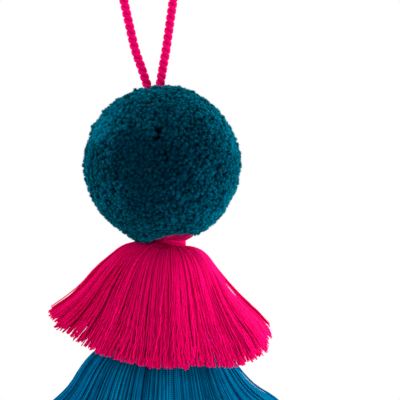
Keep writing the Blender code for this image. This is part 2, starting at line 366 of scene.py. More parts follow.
def smooth_route(points, spacing):
    """Points this far apart on one smooth curve through the route's own points."""
    route = np.array([(across, 0.0, height) for across, height in points])
    ends = np.concatenate([[2 * route[0] - route[1]], route, [2 * route[-1] - route[-2]]])
    t = (np.arange(ROUTE_STEPS) / ROUTE_STEPS)[:, None]
    fine = []
    for a, b, c, d in zip(ends, ends[1:], ends[2:], ends[3:]):
        square = (2 * a - 5 * b + 4 * c - d) * t**2
        cube = (3 * b - a - 3 * c + d) * t**3
        fine.append(0.5 * (2 * b + (c - a) * t + square + cube))
    fine = np.concatenate([*fine, route[-1:]])
    run = np.concatenate([[0], np.cumsum(np.linalg.norm(np.diff(fine, axis=0), axis=1))])
    at = np.linspace(0, run[-1], round(run[-1] / spacing) + 1)
    return np.stack([np.interp(at, run, fine[:, k]) for k in range(3)], axis=1), at


def fall_columns(skirt):
    """Distance from the axis, height and lean of the skirt, by azimuth and by share."""
    azimuth = np.linspace(0, 2 * np.pi, COLUMNS + 1)
    share, left, front, right = np.array(skirt.fall, float).T
    middles = (np.arange(int(FINE_STEPS * PAST_END)) + 0.5) / FINE_STEPS
    sideways = np.abs(np.cos(azimuth)) ** SIDE_POWER
    on_right = np.cos(azimuth) > 0
    side_length = np.where(on_right, skirt.right_length, skirt.left_length)
    corner = np.where(on_right, skirt.right_corner, skirt.left_corner)
    length = sideways * side_length + (1 - sideways) * skirt.front_length
    length += corner * CORNER_PEAK * np.cos(azimuth) ** 6 * np.sin(azimuth) ** 2
    fall_left, fall_front, fall_right = (
        np.interp(middles, share, column) for column in (left, front, right)
    )
    side = np.where(on_right[:, None], fall_right, fall_left)
    angles = np.radians(sideways[:, None] * side + (1 - sideways[:, None]) * fall_front)
    step = (length / FINE_STEPS)[:, None]
    start = np.zeros((COLUMNS + 1, 1))
    across = np.concatenate([start, np.cumsum(np.sin(angles) * step, axis=1)], axis=1)
    height = np.concatenate([start, np.cumsum(-np.cos(angles) * step, axis=1)], axis=1)
    lean = np.concatenate([angles, angles[:, -1:]], axis=1)
    return np.stack([across + skirt.neck_radius, height, lean], axis=-1)


def on_surface(columns, azimuth, share):
    """The skirt's points and outward directions at these azimuths and shares."""
    place = np.mod(azimuth, 2 * np.pi) / (2 * np.pi) * COLUMNS
    column = np.minimum(place.astype(int), COLUMNS - 1)
    part = (place - column)[..., None]
    rows = columns.shape[1] - 1
    down = np.clip(share * FINE_STEPS, 0, rows - 1e-6)
    row = down.astype(int)
    rest = (down - row)[..., None]
    low = columns[column, row] * (1 - part) + columns[column + 1, row] * part
    high = columns[column, row + 1] * (1 - part) + columns[column + 1, row + 1] * part
    found = low * (1 - rest) + high * rest
    across, height, lean = found[..., 0], found[..., 1], found[..., 2]
    return round_axis(across, azimuth, height), round_axis(np.cos(lean), azimuth, np.sin(lean))


# Threads that stand off the skirt: their share at the front, how many times that share
# is added at the sides, how far off they stand, and by what share they are shorter
LOOSE_SHARE = 0.015
LOOSE_AT_SIDES = 6
LOOSE_OFF = (0.0007, 0.0016)
LOOSE_SHORTER = 0.025
EDGE_OFF = 0.0006  # how much further those at the right edge stand off
LOCKS_A_BUNDLE = 4
# Above a skirt, where its threads run up the neck: share of its radius, and height
NECK_RISE = ((0.86, 0.0024), (0.95, 0.0008))


def crowded(turn):
    """Azimuths that stand closer at the sides than at the front and back."""
    return turn - SIDE_CROWDING * np.sin(2 * turn) / 2


def spaced_turns(count, rng, uneven=0.4):
    """Azimuths round the circle, each moved by up to this share of their spacing."""
    return 2 * np.pi * (np.arange(count) + rng.uniform(-uneven, uneven, count)) / count


def nearest_turn(turns, centres):
    """The number of the azimuth nearest to each of these."""
    return np.argmin(np.abs(np.angle(np.exp(1j * (turns[:, None] - centres)))), axis=1)


def lay_threads(shape, skirt, lay, rng, sides=3):
    """Lays a layer of threads down the skirt, drawn into locks, and the locks into bundles."""
    columns = fall_columns(skirt)
    count = lay.threads
    share = np.linspace(0, 1, lay.rings) ** 0.95
    turn = spaced_turns(count, rng, 0.5)
    lock_turn = spaced_turns(lay.locks, rng)
    lock = nearest_turn(rng.normal(turn, 2.2 / lay.locks), lock_turn)
    bundles = lay.locks // LOCKS_A_BUNDLE
    bundle = nearest_turn(rng.normal(lock_turn, 1.0 / bundles), spaced_turns(bundles, rng))[lock]
    to_lock = np.angle(np.exp(1j * (lock_turn[lock] - turn)))
    gather = ease(0.0, 0.45, share) * (1 - 0.55 * ease(0.65, 1, share))
    drift = 0.6 * rng.normal(0, 1, count) + 0.7 * rng.normal(0, 1, lay.locks)[lock]
    drift += 0.8 * rng.normal(0, 1, bundles)[bundle]
    wander = share**1.2 * np.radians(lay.drift * drift)[:, None]
    wander *= 1 - lay.calm * ease(0.3, 0.9, np.abs(np.cos(turn)))[:, None]
    pull = lay.pull * rng.uniform(0.5, 1.3, count)
    azimuth = crowded(turn[:, None] + pull[:, None] * to_lock[:, None] * gather + wander)
    sides_on = np.abs(np.cos(turn)) ** 8
    loose_one = rng.random(count) < LOOSE_SHARE * (1 + LOOSE_AT_SIDES * sides_on)
    edge_one = np.abs(np.angle(np.exp(1j * turn))) < lay.side_loose
    loose_one |= edge_one
    lock_stretch = rng.normal(0, lay.uneven * 0.25, lay.locks)[lock]
    shorter = lay.uneven * rng.random(count) ** 1.5 + np.where(loose_one, LOOSE_SHORTER, 0)
    stretch = 1 + np.clip(lock_stretch - shorter, -0.12, 0.018) + lay.stretch
    points, outward = on_surface(columns, azimuth, share * stretch[:, None])
    layer = 0.5 * rng.random(count) + 0.25 * rng.random(lay.locks)[lock]
    layer += 0.25 * rng.random(bundles)[bundle]
    even_laid = (1 - lay.calm * ease(0.6, 0.95, np.cos(turn)))[:, None]
    inset = layer[:, None] * (lay.neck_depth + (lay.hem_depth - lay.neck_depth) * share) * even_laid
    inset = inset + lay.half_width
    off = np.where(loose_one, rng.uniform(*LOOSE_OFF, count), 0)[:, None]
    off += EDGE_OFF * edge_one[:, None]
    inset = inset - off * ease(0.25, 0.6, share)
    reach = rng.uniform(*lay.reach, count)[:, None]
    spread = 1 + (reach - 1) * ease(0, 0.4, share)
    points[..., :2] *= spread[..., None]
    hang = 0.010 + lay.side_hang * np.cos(turn)[:, None] ** 2
    points[..., 2] -= (1 - reach) * hang * ease(0.1, 0.8, share)
    points -= outward * inset[..., None]
    along = unit(np.gradient(points, axis=1))
    across = unit(np.cross(along, outward))
    loose = 1 - 0.65 * np.abs(np.cos(turn)) ** 2
    size = lay.wave * loose[:, None] * share**1.3
    for waves, weight in ((1.3, 1.0), (3.5, 0.7), (8.5, 0.5)):
        phase = rng.uniform(0, 2 * np.pi, (2, count, 1))
        pace = waves * rng.uniform(0.75, 1.25, (2, count, 1))
        swing = np.sin(2 * np.pi * pace * share + phase) * size * weight
        points += across * swing[0][..., None] + outward * (swing[1] * 0.5)[..., None]
    rise = np.array(NECK_RISE)
    level = skirt.neck_radius * rise[:, 0] - inset[:, :1] * 0.5
    neck = round_axis(level, azimuth[:, :1], rise[:, 1])
    radial = np.broadcast_to(round_axis(1.0, azimuth[:, :1], 0.0), neck.shape)
    points = np.concatenate([neck, points], axis=1)
    outward = np.concatenate([radial, outward], axis=1)
    held = 1 - ease(0.0, 0.22, np.concatenate([np.zeros(len(rise)), share]))
    lift = BAND_RADIUS - np.clip(points[..., 0], -BAND_RADIUS, BAND_RADIUS)
    points[..., 2] += 0.6 * lift * math.tan(skirt.tilt) * held
    points += skirt.start
    width = lay.half_width * (0.68 + 0.32 * ease(0, 0.3, share)) * rng.uniform(0.85, 1.15, (count, 1))
    width = np.concatenate([np.repeat(width[:, :1], len(rise), axis=1), width], axis=1)
    tone = 0.5 * rng.random(count) + 0.3 * rng.random(lay.locks)[lock]
    tone += 0.2 * rng.random(bundles)[bundle]
    # Painted shade: threads lower in their layer, nearer the neck and further inside the skirt get a
    # lower depth
    buried = 0.6 + 0.6 * (1 - ease(0, 0.5, np.concatenate([np.zeros(len(rise)), share])))
    depth = 1 - layer[:, None] * buried * even_laid - (1 - reach) * 0.6
    add_tubes(shape, points, width, outward, sides, tone, depth)


def named(tree, kind, label):
    node = tree.nodes.new(kind)
    node.label = label
    return node


def join(tree, source, target):
    tree.links.new(source, target)


def math_node(tree, operation, label, first, second=None):
    """A Math node whose inputs are sockets or numbers."""
    node = named(tree, "ShaderNodeMath", label)
    node.operation = operation
    for place, value in enumerate((first, second)):
        if value is None:
            continue
        if isinstance(value, bpy.types.NodeSocket):
            join(tree, value, node.inputs[place])
        else:
            node.inputs[place].default_value = value
    return node.outputs[0]


def new_group(name, inputs, outputs):
    """An empty node group. inputs and outputs hold (name, socket type, default)."""
    group = bpy.data.node_groups.new(name, "ShaderNodeTree")
    for direction, sockets in (("INPUT", inputs), ("OUTPUT", outputs)):
        for title, kind, default in sockets:
            socket = group.interface.new_socket(title, in_out=direction, socket_type=kind)
            if default is not None:
                socket.default_value = default
    return group, group.nodes.new("NodeGroupInput"), group.nodes.new("NodeGroupOutput")


def thread_twist():
    """Plies that turn round a thread: their height, and a mask of the grooves for painted shade."""
    name = "Thread twist"
    if name in bpy.data.node_groups:
        return bpy.data.node_groups[name]
    group, given, out = new_group(
        name,
        (
            ("Lay", "NodeSocketVector", None),
            ("Pitch", "NodeSocketFloat", 0.0013),
            ("Plies", "NodeSocketFloat", 2.0),
        ),
        (("Height", "NodeSocketFloat", None), ("Groove", "NodeSocketFloat", None)),
    )
    parts = named(group, "ShaderNodeSeparateXYZ", "Turn and run")
    join(group, given.outputs["Lay"], parts.inputs[0])
    turns = math_node(group, "DIVIDE", "Turns run", parts.outputs["Y"], given.outputs["Pitch"])
    place = math_node(group, "ADD", "Turn of a ply", parts.outputs["X"], turns)
    phase = math_node(group, "MULTIPLY", "Plies passed", place, given.outputs["Plies"])
    angle = math_node(group, "MULTIPLY", "Angle", phase, math.pi)
    wave = math_node(group, "SINE", "Ply wave", angle)
    height = math_node(group, "ABSOLUTE", "Ply height", wave)
    low = math_node(group, "SUBTRACT", "Below the ply", 1.0, height)
    groove = math_node(group, "POWER", "Groove", low, 2.0)
    join(group, height, out.inputs["Height"])
    join(group, groove, out.inputs["Groove"])
    return group


def fibre_colour_and_shade():
    """A dyed fibre's colour: a tone of its own, mottled, with painted shade in the grooves and deep in.
    """
    name = "Dyed fibre"
    if name in bpy.data.node_groups:
        return bpy.data.node_groups[name]
    group, given, out = new_group(
        name,
        (
            ("Dark", "NodeSocketColor", (0.1, 0.1, 0.1, 1)),
            ("Light", "NodeSocketColor", (0.8, 0.8, 0.8, 1)),
            ("Shade", "NodeSocketColor", (0.02, 0.02, 0.02, 1)),
            ("Tone", "NodeSocketFloat", 0.5),
            ("Depth", "NodeSocketFloat", 1.0),
            ("Groove", "NodeSocketFloat", 0.0),
            ("Mottle size", "NodeSocketFloat", 300.0),
            ("Mottle", "NodeSocketFloat", 0.3),
        ),
        (("Colour", "NodeSocketColor", None), ("Grain", "NodeSocketFloat", None)),
    )
    place = named(group, "ShaderNodeTexCoord", "Place on the object")
    noise = named(group, "ShaderNodeTexNoise", "Mottle")
    noise.inputs["Detail"].default_value = 3.0
    join(group, place.outputs["Object"], noise.inputs["Vector"])
    join(group, given.outputs["Mottle size"], noise.inputs["Scale"])
    swing = math_node(group, "SUBTRACT", "Centred", noise.outputs["Fac"], 0.5)
    part = math_node(group, "MULTIPLY", "Mottled by", swing, given.outputs["Mottle"])
    tone = math_node(group, "ADD", "Tone", given.outputs["Tone"], part)
    tone.node.use_clamp = True
    dye = named(group, "ShaderNodeMix", "Dye")
    dye.data_type = "RGBA"
    join(group, tone, dye.inputs["Factor"])
    join(group, given.outputs["Dark"], dye.inputs[6])
    join(group, given.outputs["Light"], dye.inputs[7])
    # Painted shade: the shade colour takes over in the ply grooves and where depth is low
    open_part = math_node(group, "SUBTRACT", "Out of the groove", 1.0, given.outputs["Groove"])
    lit = math_node(group, "MULTIPLY", "Open and near", given.outputs["Depth"], open_part)
    lit.node.use_clamp = True
    shaded = named(group, "ShaderNodeMix", "Deep shade")
    shaded.data_type = "RGBA"
    join(group, lit, shaded.inputs["Factor"])
    join(group, given.outputs["Shade"], shaded.inputs[6])
    join(group, dye.outputs[2], shaded.inputs[7])
    join(group, shaded.outputs[2], out.inputs["Colour"])
    join(group, noise.outputs["Fac"], out.inputs["Grain"])
    return group


def ball_normal():
    """A normal part of the way from the surface's own to that of the pompom's ball."""
    name = "Ball normal"
    if name in bpy.data.node_groups:
        return bpy.data.node_groups[name]
    group, given, out = new_group(
        name,
        (("Softness", "NodeSocketFloat", 0.5),),
        (("Normal", "NodeSocketVector", None),),
    )
    place = named(group, "ShaderNodeTexCoord", "Place on the object")
    away = named(group, "ShaderNodeVectorMath", "From the centre")
    away.operation = "SUBTRACT"
    join(group, place.outputs["Object"], away.inputs[0])
    away.inputs[1].default_value = tuple(POMPOM_CENTRE)
    turned = named(group, "ShaderNodeVectorTransform", "In the world")
    turned.vector_type = "NORMAL"
    turned.convert_from = "OBJECT"
    turned.convert_to = "WORLD"
    join(group, away.outputs[0], turned.inputs[0])
    own = named(group, "ShaderNodeNewGeometry", "Surface")
    mixed = named(group, "ShaderNodeMix", "Softened")
    mixed.data_type = "VECTOR"
    join(group, given.outputs["Softness"], mixed.inputs["Factor"])
    join(group, own.outputs["Normal"], mixed.inputs[4])
    join(group, turned.outputs[0], mixed.inputs[5])
    whole = named(group, "ShaderNodeVectorMath", "Of length one")
    whole.operation = "NORMALIZE"
    join(group, mixed.outputs[1], whole.inputs[0])
    join(group, whole.outputs[0], out.inputs["Normal"])
    return group


class Dye(NamedTuple):
    """A finish's colours and how its fibres take the light; shade is a painted shade colour for deep
    places and grooves.
    """

    dark: tuple
    light: tuple
    shade: tuple
    mottle_size: float
    mottle: float
    groove: float
    bump: float
    roughness: float
    specular: float
    sheen: float
    sheen_tint: tuple


def attribute(tree, name):
    node = named(tree, "ShaderNodeAttribute", name)
    node.attribute_name = name
    return node.outputs["Fac"]


def fibre_material(name, dye, pitch=None, plies=1.0, softness=None):
    """A dyed yarn or thread, with painted shade in its grooves and deep places. A pitch gives it plies,
    and a softness shades it as a ball.
    """
    made = bpy.data.materials.new(name)
    made.use_nodes = True
    tree = made.node_tree
    shader = tree.nodes["Principled BSDF"]
    shader.inputs["Roughness"].default_value = dye.roughness
    shader.inputs["Specular IOR Level"].default_value = dye.specular
    shader.inputs["Sheen Weight"].default_value = dye.sheen
    shader.inputs["Sheen Roughness"].default_value = 0.45
    shader.inputs["Sheen Tint"].default_value = (*dye.sheen_tint, 1)
    colouring = named(tree, "ShaderNodeGroup", "Dyed fibre")
    colouring.node_tree = fibre_colour_and_shade()
    colouring.inputs["Dark"].default_value = (*dye.dark, 1)
    colouring.inputs["Light"].default_value = (*dye.light, 1)
    colouring.inputs["Shade"].default_value = (*dye.shade, 1)
    colouring.inputs["Mottle size"].default_value = dye.mottle_size
    colouring.inputs["Mottle"].default_value = dye.mottle
    join(tree, attribute(tree, "tone"), colouring.inputs["Tone"])
    join(tree, attribute(tree, "depth"), colouring.inputs["Depth"])
    join(tree, colouring.outputs["Colour"], shader.inputs["Base Color"])
    height = colouring.outputs["Grain"]
    if pitch:
        lay = named(tree, "ShaderNodeUVMap", "Lay of the thread")
        lay.uv_map = "Lay"
        twist = named(tree, "ShaderNodeGroup", "Thread twist")
        twist.node_tree = thread_twist()
        twist.inputs["Pitch"].default_value = pitch
        twist.inputs["Plies"].default_value = plies
        join(tree, lay.outputs["UV"], twist.inputs["Lay"])
        # Painted shade in the grooves between the plies
        groove = math_node(tree, "MULTIPLY", "Groove shade", twist.outputs["Groove"], dye.groove)
        join(tree, groove, colouring.inputs["Groove"])
        height = twist.outputs["Height"]
    bump = named(tree, "ShaderNodeBump", "Fibre relief")
    bump.inputs["Strength"].default_value = 1.0
    bump.inputs["Distance"].default_value = dye.bump
    join(tree, height, bump.inputs["Height"])
    if softness:
        ball = named(tree, "ShaderNodeGroup", "Ball normal")
        ball.node_tree = ball_normal()
        ball.inputs["Softness"].default_value = softness
        join(tree, ball.outputs["Normal"], bump.inputs["Normal"])
    join(tree, bump.outputs["Normal"], shader.inputs["Normal"])
    return made


PINK_THREAD = Dye(
    dark=colour(224, 0, 91),
    light=colour(252, 0, 115),
    shade=colour(176, 0, 58),
    mottle_size=220.0,
    mottle=0.5,
    groove=0.25,
    bump=0.00005,
    roughness=0.8,
    specular=0.02,
    sheen=0.03,
    sheen_tint=(1.0, 0.0, 0.30),
)
PINK_CORD = PINK_THREAD._replace(
    dark=colour(208, 0, 90), light=colour(226, 0, 108), mottle_size=900.0
)
PINK_BINDING = PINK_THREAD._replace(dark=colour(196, 0, 80), light=colour(236, 0, 104))
# Painted shade: a darker copy of the pink thread for the head threads, which lie in shade under the wool
PINK_HEAD_IN_SHADE = PINK_THREAD._replace(
    dark=colour(165, 0, 62), light=colour(214, 0, 92), shade=colour(104, 0, 40)
)
STRAY_FIBRE = PINK_THREAD._replace(dark=colour(84, 22, 60), light=colour(120, 24, 74))
BLUE_THREAD = Dye(
    dark=colour(0, 64, 106),
    light=colour(0, 150, 202),
    shade=colour(0, 30, 58),
    mottle_size=220.0,
    mottle=0.5,
    groove=0.9,
    bump=0.00008,
    roughness=0.8,
    specular=0.0,
    sheen=0.02,
    sheen_tint=(0.0, 0.5, 0.8),
)
TEAL_WOOL = Dye(
    dark=colour(0, 35, 53),
    light=colour(0, 98, 122),
    shade=colour(0, 28, 44),
    mottle_size=1400.0,
    mottle=0.5,
    groove=0.0,
    bump=0.00020,
    roughness=0.95,
    specular=0.0,
    sheen=0.7,
    sheen_tint=(0.0, 0.48, 0.62),
)
# Painted light: the fuzz is a paler copy of the wool, standing in for light shining through its loose
# fibres
WOOL_FUZZ = TEAL_WOOL._replace(
    dark=colour(0, 39, 59), light=colour(8, 152, 176), shade=colour(0, 33, 49), bump=0.00003
)


def put(piece, node=None):
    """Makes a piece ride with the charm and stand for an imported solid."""
    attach(piece, "root")
    if node:
        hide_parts(node)
    return piece


class CordSettings(bpy.types.PropertyGroup):
    """Sizes of the hanging cord."""

    diameter: bpy.props.FloatProperty(
        name="Diameter",
        description="Outer diameter of the twisted cord",
        default=0.004,
        min=0.002,
        max=0.008,
        subtype="DISTANCE",
        unit="LENGTH",
    )
    twist: bpy.props.FloatProperty(
        name="Twist",
        description="Length of one full turn of the two plies",
        default=0.0057,
        min=0.002,
        max=0.02,
        subtype="DISTANCE",
        unit="LENGTH",
    )


class PompomSettings(bpy.types.PropertyGroup):
    """Make of the wool pompom."""

    ends: bpy.props.IntProperty(
        name="Yarn ends",
        description="Number of cut yarn ends over the whole ball",
        default=5200,
        min=500,
        max=8000,
    )
    end_radius: bpy.props.FloatProperty(
        name="Yarn end radius",
        description="Radius of an opened yarn end",
        default=0.00090,
        min=0.0002,
        max=0.002,
        subtype="DISTANCE",
        unit="LENGTH",
    )
    fuzz: bpy.props.IntProperty(
        name="Fuzz",
        description="Loose fibres on each yarn end",
        default=15,
        min=0,
        max=40,
    )


class BindingSettings(bpy.types.PropertyGroup):
    """Make of the binding round the neck."""

    turns: bpy.props.IntProperty(
        name="Turns",
        description="Turns of thread wound round the neck",
        default=5,
        min=2,
        max=10,
    )
    half_width: bpy.props.FloatProperty(
        name="Thread radius",
        description="Radius of the binding thread",
        default=0.00036,
        min=0.0001,
        max=0.001,
        subtype="DISTANCE",
        unit="LENGTH",
    )


class SkirtSettings(bpy.types.PropertyGroup):
    """Look of the two thread skirts."""

    upper_pitch: bpy.props.FloatProperty(
        name="Upper thread pitch",
        description="Length of one turn of an upper thread's plies",
        default=0.0010,
        min=0.0005,
        max=0.01,
        subtype="DISTANCE",
        unit="LENGTH",
    )
    lower_pitch: bpy.props.FloatProperty(
        name="Lower thread pitch",
        description="Length of one turn of a lower thread's plies",
        default=0.00085,
        min=0.0005,
        max=0.01,
        subtype="DISTANCE",
        unit="LENGTH",
    )


class StageSettings(bpy.types.PropertyGroup):
    """Floor and light of the stage."""

    floor_height: bpy.props.FloatProperty(
        name="Floor height",
        description="Height of the floor below the hook's point",
        default=-0.9,
        max=-0.25,
        subtype="DISTANCE",
        unit="LENGTH",
    )
    floor_colour: bpy.props.FloatVectorProperty(
        name="Floor colour",
        description="Colour of the plain floor",
        default=(0.86, 0.86, 0.86),
        min=0.0,
        max=1.0,
        size=3,
        subtype="COLOR",
    )
    light: bpy.props.FloatProperty(
        name="Light",
        description="Strength of all the lamps, against their own",
        default=1.0,
        min=0.0,
        subtype="FACTOR",
    )


class CHARM_OT_add_cord(bpy.types.Operator):
    """Adds the two-ply cord loop, with its yarns and loose hairs"""

    bl_idname = "charm.add_cord"
    bl_label = "Cord loop"

    def execute(self, context):
        settings = context.scene.charm_cord
        rng = np.random.default_rng(SEED)
        centres, run = smooth_route(CORD_ROUTE, RING_SPACING)
        along = unit(np.gradient(centres, axis=0))
        side = unit(np.cross(DEPTH, along))
        turn = -2 * np.pi * run / settings.twist
        wide = side * np.cos(turn)[:, None] + DEPTH * np.sin(turn)[:, None]
        high = DEPTH * np.cos(turn)[:, None] - side * np.sin(turn)[:, None]
        radius = settings.diameter / 2
        sides = PLY_YARNS * YARN_SIDES
        shape = Shape()
        for sign in (1, -1):
            middle = centres + sign * wide * PLY_OFFSET * radius
            angle = even_turns(sides)
            lobes = np.abs(np.cos(PLY_YARNS * angle / 2))
            angle = angle[None] - YARN_UNTWIST * turn[:, None]
            swell = 1 - YARN_GROOVE * (1 - lobes) + rng.normal(0, 0.012, angle.shape)
            thick = (PLY_THICK * radius * swell * np.cos(angle))[..., None]
            broad = (PLY_WIDE * radius * swell * np.sin(angle))[..., None]
            points = middle[:, None] + wide[:, None] * thick + high[:, None] * broad
            # Painted shade: depth falls between the yarns of each ply, darkening the grooves
            add_skin(shape, points, run, 0.45 + 0.2 * sign, 0.72 + 0.28 * lobes)
        count = CORD_HAIRS
        at = rng.integers(4, len(centres) - 4, count)
        spin = rng.uniform(0, 2 * np.pi, count)[:, None]
        out = side[at] * np.cos(spin) + DEPTH * np.sin(spin)
        lean = rng.normal(0, 0.9, (count, 1))
        heading = unit(out + along[at] * lean)
        roots = centres[at] + out * radius * HAIR_ROOT
        tips = roots + heading * rng.uniform(*HAIR_LENGTH, (count, 1))
        add_spikes(shape, roots, tips, HAIR_WIDTH, rng.random(count), np.ones((2, count)))
        finish = fibre_material("pink twisted cord", PINK_CORD, CORD_PITCH)
        piece = put(shape.make("twisted_cord_loop", finish), "hanging_loop")
        return {"FINISHED"}


def add_skin(shape, rows, run, tone, depth):
    """One closed tube through these rings of points, whose rows follow the run."""
    rings, sides = rows.shape[:2]
    index = np.arange(rings * sides).reshape(rings, sides)
    walls, lay = tube_walls(index, run)
    corners = rows.reshape(-1, 3)[walls]
    middle = rows.mean(axis=1)[walls[:, 0] // sides]
    normal = np.cross(corners[:, 1] - corners[:, 0], corners[:, 2] - corners[:, 0])
    inside_out = (normal * (corners.mean(axis=1) - middle)).sum() < 0
    ends = np.stack([index[0], index[-1, ::-1]])
    if inside_out:
        walls, lay, ends = walls[:, ::-1], lay[:, ::-1], ends[:, ::-1]
    faces = [(walls, lay), (ends, np.zeros((*ends.shape, 2)))]
    depth = np.broadcast_to(depth, (rings, sides)).ravel()
    shape.add(rows, faces, tone, depth)


class CHARM_OT_add_pompom(bpy.types.Operator):
    """Adds the wool pompom: its core, its cut yarn ends, their fuzz and a few strays"""

    bl_idname = "charm.add_pompom"
    bl_label = "Pompom"

    def execute(self, context):
        settings = context.scene.charm_pompom
        rng = np.random.default_rng(SEED + 1)
        ends = yarn_ends(settings, rng)
        wool = fibre_material("teal wool", TEAL_WOOL, softness=0.5)
        fuzz = fibre_material("teal wool fuzz", WOOL_FUZZ, softness=0.7)
        above = ends.heading[:, 2] > 0
        for name, chosen in (("upper", above), ("lower", ~above)):
            shape = Shape()
            add_yarn_ends(shape, ends, chosen, rng)
            put(shape.make(f"pompom_yarn_ends_{name}", wool), "pompom")
            shape = Shape()
            add_fuzz(shape, ends, chosen, settings.fuzz, rng)
            put(shape.make(f"pompom_fuzz_{name}", fuzz), "pompom")
        shape = Shape()
        add_core(shape, rng)
        put(shape.make("pompom_core", wool), "pompom")
        shape = Shape()
        add_strays(shape, rng)
        stray = fibre_material("stray pink fibre", STRAY_FIBRE)
        put(shape.make("pompom_stray_fibres", stray))
        return {"FINISHED"}


class YarnEnds(NamedTuple):
    heading: np.ndarray  # from the pompom's centre
    lean: np.ndarray  # the way each end points
    reach: np.ndarray  # its tip's distance from the centre
    radius: np.ndarray
    # random tone, plus painted light and shade in broad spots
    tone: np.ndarray


POMPOM_CLUMPS = 900
POMPOM_PATCHES = 70  # broad patches where the wool stands a little prouder or paler
PATCH_SPREAD = 0.22
PATCH_RISE = 0.0003
WOOL_REACH = POMPOM_RADIUS - 0.0002
END_UNEVEN = 0.00018
LEG_ROOM = 0.0021
KNOB_ROOM = 0.0082
# Gaps between the ends: across and height in the front view, and how wide
HOLES = (
    (0.0031, -0.0894, 0.0019),
    (0.0032, -0.0914, 0.0017),
    (0.0061, -0.1002, 0.0011),
)
HOLE_DEPTH = 0.0095  # of a gap, below the core's surface
# Where the wool stands out: heading, how wide in radians, and how far
WOOL_SWELLS = (
    ((-0.20, -0.30, -0.93), 0.16, 0.0010),
    ((-0.32, -0.10, -0.95), 0.13, 0.0013),
    ((-0.72, 0.0, -0.69), 0.30, 0.0008),
    ((-1.0, 0.0, 0.06), 0.22, 0.0008),
    ((-0.71, 0.0, 0.71), 0.22, 0.0010),
    ((0.26, 0.0, 0.97), 0.22, 0.0008),
    ((0.50, 0.0, -0.86), 0.15, 0.0002),
)
# Painted light and shade on the wool: paler where light falls on the upper left and the rims at the
# right, darker at the left and below; heading, how wide in radians, and by how much
WOOL_PAINTED_LIGHT = (
    ((-0.72, -0.38, 0.55), 0.30, 0.45),
    ((0.90, -0.30, 0.28), 0.30, 0.36),
    ((0.84, -0.20, -0.48), 0.26, 0.30),
    ((0.22, -0.50, 0.83), 0.30, 0.02),
    ((0.0, -1.0, 0.05), 0.65, 0.02),
    ((-0.95, -0.3, -0.05), 0.35, -0.14),
    ((-0.65, -0.55, -0.45), 0.55, -0.16),
    ((0.30, -0.55, -0.75), 0.45, -0.08),
)
# The wool's lower edge, trimmed round the neck: across, and height
WOOL_HEM = (
    (-0.0095, -0.1369),
    (-0.0040, -0.1374),
    (-0.0013, -0.1379),
    (0.0008, -0.1351),
    (0.0040, -0.1353),
    (0.0080, -0.1340),
    (0.0165, -0.1341),
    (0.0186, -0.1350),
)


def front_heading(across, height):
    """The way from the pompom's centre to a place on its front."""
    place = np.array((across, 0.0, height)) - POMPOM_CENTRE
    off_axis = math.hypot(place[0], place[2])
    place[1] = -math.sqrt(max(POMPOM_RADIUS**2 - off_axis**2, 0))
    return unit(place)


def spots(heading, places):
    """The sum of soft round spots: places holds heading, width in radians and height."""
    total = np.zeros(len(heading))
    for towards, spread, more in places:
        angle = np.arccos(np.clip(heading @ unit(np.array(towards)), -1, 1))
        total += more * np.exp(-((angle / spread) ** 2))
    return total


def cut_level(heading, reach, uneven):
    """Shortens the ends that would hang over the neck."""
    across = POMPOM_CENTRE[0] + heading[:, 0] * reach
    lowest = np.interp(across, *np.array(WOOL_HEM).T) + uneven
    room = (lowest - POMPOM_CENTRE[2]) / np.minimum(heading[:, 2], -0.2)
    return np.where(heading[:, 2] < -0.2, np.minimum(reach, room), reach)


def yarn_ends(settings, rng):
    """Where the cut yarn ends stand, with room left for the cord's legs and the neck."""
    heading = even_directions(settings.ends, rng, 0.25)
    count = len(heading)
    clumps = even_directions(POMPOM_CLUMPS, rng, 0.3)
    clump = nearest(heading, clumps)
    patches = even_directions(POMPOM_PATCHES, rng, 0.3)
    near = np.exp(-((np.arccos(np.clip(heading @ patches.T, -1, 1)) / PATCH_SPREAD) ** 2))
    patch = near @ rng.normal(0, 1, POMPOM_PATCHES) / np.maximum(near.sum(axis=1), 1e-6)
    reach = WOOL_REACH + spots(heading, WOOL_SWELLS) + PATCH_RISE * patch
    reach += rng.normal(0, END_UNEVEN, count)
    reach += rng.normal(0, END_UNEVEN, POMPOM_CLUMPS)[clump]
    parting = np.abs(heading[:, 0] - 0.065)
    front = (heading[:, 1] < -0.2) & (heading[:, 2] > 0.4)
    reach -= np.where(front, 0.0006 * np.exp(-((parting / 0.012) ** 2)), 0)
    reach = cut_level(heading, reach, rng.normal(0, 0.0005, POMPOM_CLUMPS)[clump])
    reach += rng.normal(0, 0.00026, count)
    tip = POMPOM_CENTRE + heading * reach[:, None]
    off_neck = np.linalg.norm((tip - NECK)[:, :2], axis=1)
    keep = (off_neck > KNOB_ROOM) | (tip[:, 2] > -0.12)
    centres, _ = smooth_route(CORD_ROUTE, 0.002)
    legs = centres[centres[:, 2] < -0.062]
    apart = np.linalg.norm(tip[:, None] - legs[None], axis=2).min(axis=1)
    keep &= apart > LEG_ROOM
    for across, height, wide in HOLES:
        hole = POMPOM_RADIUS * (heading - front_heading(across, height))
        keep &= np.linalg.norm(hole, axis=1) > wide
    lean = unit(heading + 0.6 * (clumps[clump] - heading) + rng.normal(0, 0.14, heading.shape))
    radius = settings.end_radius * np.exp(rng.normal(0, 0.2, count))
    tone = 0.26 * rng.random(count) + 0.26 * rng.random(POMPOM_CLUMPS)[clump]
    tone += 0.20 * patch - 0.14
    # Painted light and shade: paler spots where light falls, darker ones in shade
    tone = np.clip(tone + spots(heading, WOOL_PAINTED_LIGHT), 0, 1)
    return YarnEnds(*(part[keep] for part in (heading, lean, reach, radius, tone)))


# Rings up a yarn end: distance back from its tip, width against its radius, and depth value, which
# paints shade lower down the end
END_RINGS = (
    (0.0050, 0.85, 0.25),
    (0.0016, 1.0, 0.60),
    (0.0006, 0.72, 0.85),
)
END_SIDES = 5


